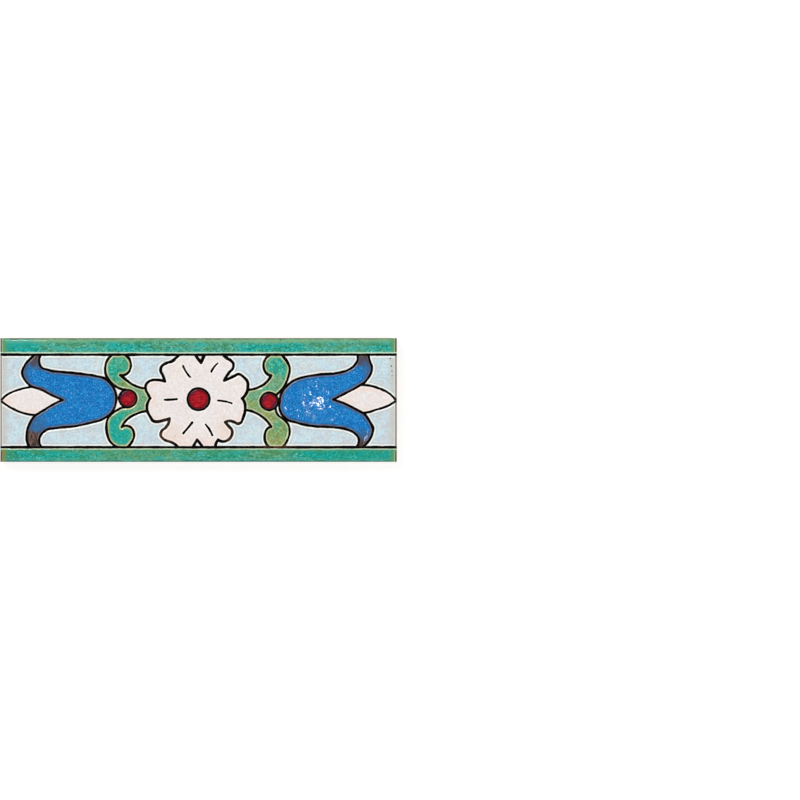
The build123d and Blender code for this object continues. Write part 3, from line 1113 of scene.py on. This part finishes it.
class BORDERTILE_OT_stage(bpy.types.Operator):
    """Pale floor, soft light and the camera that looks straight down"""
    bl_idname = "border_tile.stage"
    bl_label = "Stage"

    def execute(self, context):
        scene = context.scene
        scene.view_settings.view_transform = "Standard"
        self.floor()
        self.world(scene)
        pixel = 2 * EDGE_X * MM / TILE_LENGTH_PIXELS
        middle_x, middle_y = TILE_MIDDLE_PIXEL
        view = bpy.data.cameras.new("camera")
        view.lens = view.sensor_width * (CAMERA_HEIGHT - TOP * MM) / (FRAME_PIXELS * pixel)
        camera = linked("camera", view)
        camera.location = (
            (FRAME_PIXELS / 2 - middle_x) * pixel, (middle_y - FRAME_PIXELS / 2) * pixel, CAMERA_HEIGHT)
        scene.camera = camera
        for name, (place, side, watts) in LAMPS.items():
            self.lamp(name, place, side, side, watts)

        # Each small lamp hangs a metre up, where the leaning glaze mirrors it to the camera
        for number, ((x, y), width, length, lean) in enumerate(GLINTS):
            spot = Vector(((x - middle_x) * pixel, (middle_y - y) * pixel, TOP * MM))
            way = (spot - camera.location).reflect(Vector((0, math.sin(lean), math.cos(lean))))
            watts = GLINT_BRIGHTNESS * math.pi * width * length * MM**2
            self.lamp("glint_%d" % number, spot + way / way.z, width * MM, length * MM, watts)
        return {"FINISHED"}

    def floor(self):
        """White paper, open under the tile's middle so that its back can be lit and looked at from below."""
        halves = [(FLOOR_REACH, FLOOR_REACH)] + [(EDGES - inset) * MM for inset in FLOOR_INSETS]
        verts = [
            (x * half_x, y * half_y, -FLOOR_DROP * MM)
            for half_x, half_y in halves for x, y in ((-1, -1), (1, -1), (1, 1), (-1, 1))
        ]
        faces = [
            (ring + side, ring + (side + 1) % 4, ring + 4 + (side + 1) % 4, ring + 4 + side)
            for ring in (0, 4) for side in range(4)
        ]
        mesh = bpy.data.meshes.new("floor")
        mesh.from_pydata(verts, [], faces)
        for title, glowing in (("white_paper", True), ("white_paper_under_the_tile", False)):
            mesh.materials.append(self.paper(title, glowing))
        mesh.polygons.foreach_set("material_index", [0] * 4 + [1] * 4)
        linked("floor", mesh)

    def paper(self, title, glowing):
        """White paper, lit from behind to the eye where it shows, so that it is white but keeps a shadow."""
        paper = bpy.data.materials.new(title)
        tree = emptied(paper)
        surface = add(tree, "ShaderNodeBsdfDiffuse", {"Color": colour("E8E8E8")})
        if glowing:
            seen = add(tree, "ShaderNodeLightPath").outputs
            plain = add(tree, MATH, (seen["Is Camera Ray"], seen["Is Glossy Ray"]), operation="MAXIMUM")
            glow = add(tree, "ShaderNodeEmission", {"Strength": 0.7})
            shaded = add(tree, "ShaderNodeBsdfDiffuse", {"Color": (0.38, 0.38, 0.38, 1)})
            white = add(tree, "ShaderNodeAddShader", (shaded, glow))
            surface = add(tree, "ShaderNodeMixShader", (plain, surface, white))
        add(tree, "ShaderNodeOutputMaterial", {"Surface": surface})
        return paper

    def world(self, scene):
        """Soft room light, dim overhead so that the glaze shows its own colour from above."""
        world = bpy.data.worlds.new("soft_room")
        tree = emptied(world)
        way = add(tree, "ShaderNodeTexCoord").outputs["Generated"]
        up = add(tree, "ShaderNodeSeparateXYZ", {"Vector": way}).outputs["Z"]
        level = add(tree, RANGE, {
            "Value": up, "From Min": 0.62, "From Max": 0.93, "To Min": 0.92, "To Max": 0.05,
        }, interpolation_type=SMOOTH)
        seen = add(tree, "ShaderNodeLightPath").outputs["Is Camera Ray"]
        strength = add(tree, MATH, (level, seen), operation="MAXIMUM")
        back = add(tree, "ShaderNodeBackground", {"Color": (1, 1, 1, 1), "Strength": strength})
        add(tree, "ShaderNodeOutputWorld", {"Surface": back})
        scene.world = world

    def lamp(self, name, place, width, length, watts):
        """Soft lamp of two sides in metres that shines at the tile's middle."""
        light = bpy.data.lights.new(name, "AREA")
        light.energy = watts
        light.shape = "RECTANGLE"
        light.size = width
        light.size_y = length
        lamp = linked(name, light)
        lamp.location = place
        lamp.rotation_euler = (-Vector(place)).to_track_quat("-Z", "Y").to_euler()


OPERATORS = (
    BORDERTILE_OT_body, BORDERTILE_OT_lines, BORDERTILE_OT_bands, BORDERTILE_OT_field,
    BORDERTILE_OT_tulips, BORDERTILE_OT_scrolls, BORDERTILE_OT_whites, BORDERTILE_OT_reds,
    BORDERTILE_OT_specks, BORDERTILE_OT_stage)


class BORDERTILE_PT_panel(bpy.types.Panel):
    """Settings of the tile, and its pieces in the order in which they are made"""
    bl_idname = "BORDERTILE_PT_panel"
    bl_label = "Border Tile"
    bl_space_type = "VIEW_3D"
    bl_region_type = "UI"
    bl_category = "Tile"

    def draw(self, context):
        for group in (context.scene.border_tile_sizes, context.scene.border_tile_colours):
            for name in group.bl_rna.properties.keys():
                if name not in ("rna_type", "name"):
                    self.layout.prop(group, name)
        for operator in OPERATORS:
            self.layout.operator(operator.bl_idname)


CLASSES = (BorderTileSizes, BorderTileColours) + OPERATORS + (BORDERTILE_PT_panel,)


def register():
    for cls in CLASSES:
        bpy.utils.register_class(cls)
    bpy.types.Scene.border_tile_sizes = bpy.props.PointerProperty(type=BorderTileSizes)
    bpy.types.Scene.border_tile_colours = bpy.props.PointerProperty(type=BorderTileColours)


def unregister():
    del bpy.types.Scene.border_tile_sizes
    del bpy.types.Scene.border_tile_colours
    for cls in reversed(CLASSES):
        bpy.utils.unregister_class(cls)


def main():
    """Makes the pieces and the stage in their order, each by its operator."""
    register()
    bpy.ops.border_tile.body()
    bpy.ops.border_tile.lines()
    bpy.ops.border_tile.bands()
    bpy.ops.border_tile.field()
    bpy.ops.border_tile.tulips()
    bpy.ops.border_tile.scrolls()
    bpy.ops.border_tile.whites()
    bpy.ops.border_tile.reds()
    bpy.ops.border_tile.specks()
    bpy.ops.border_tile.stage()


if __name__ == "__main__":
    main()
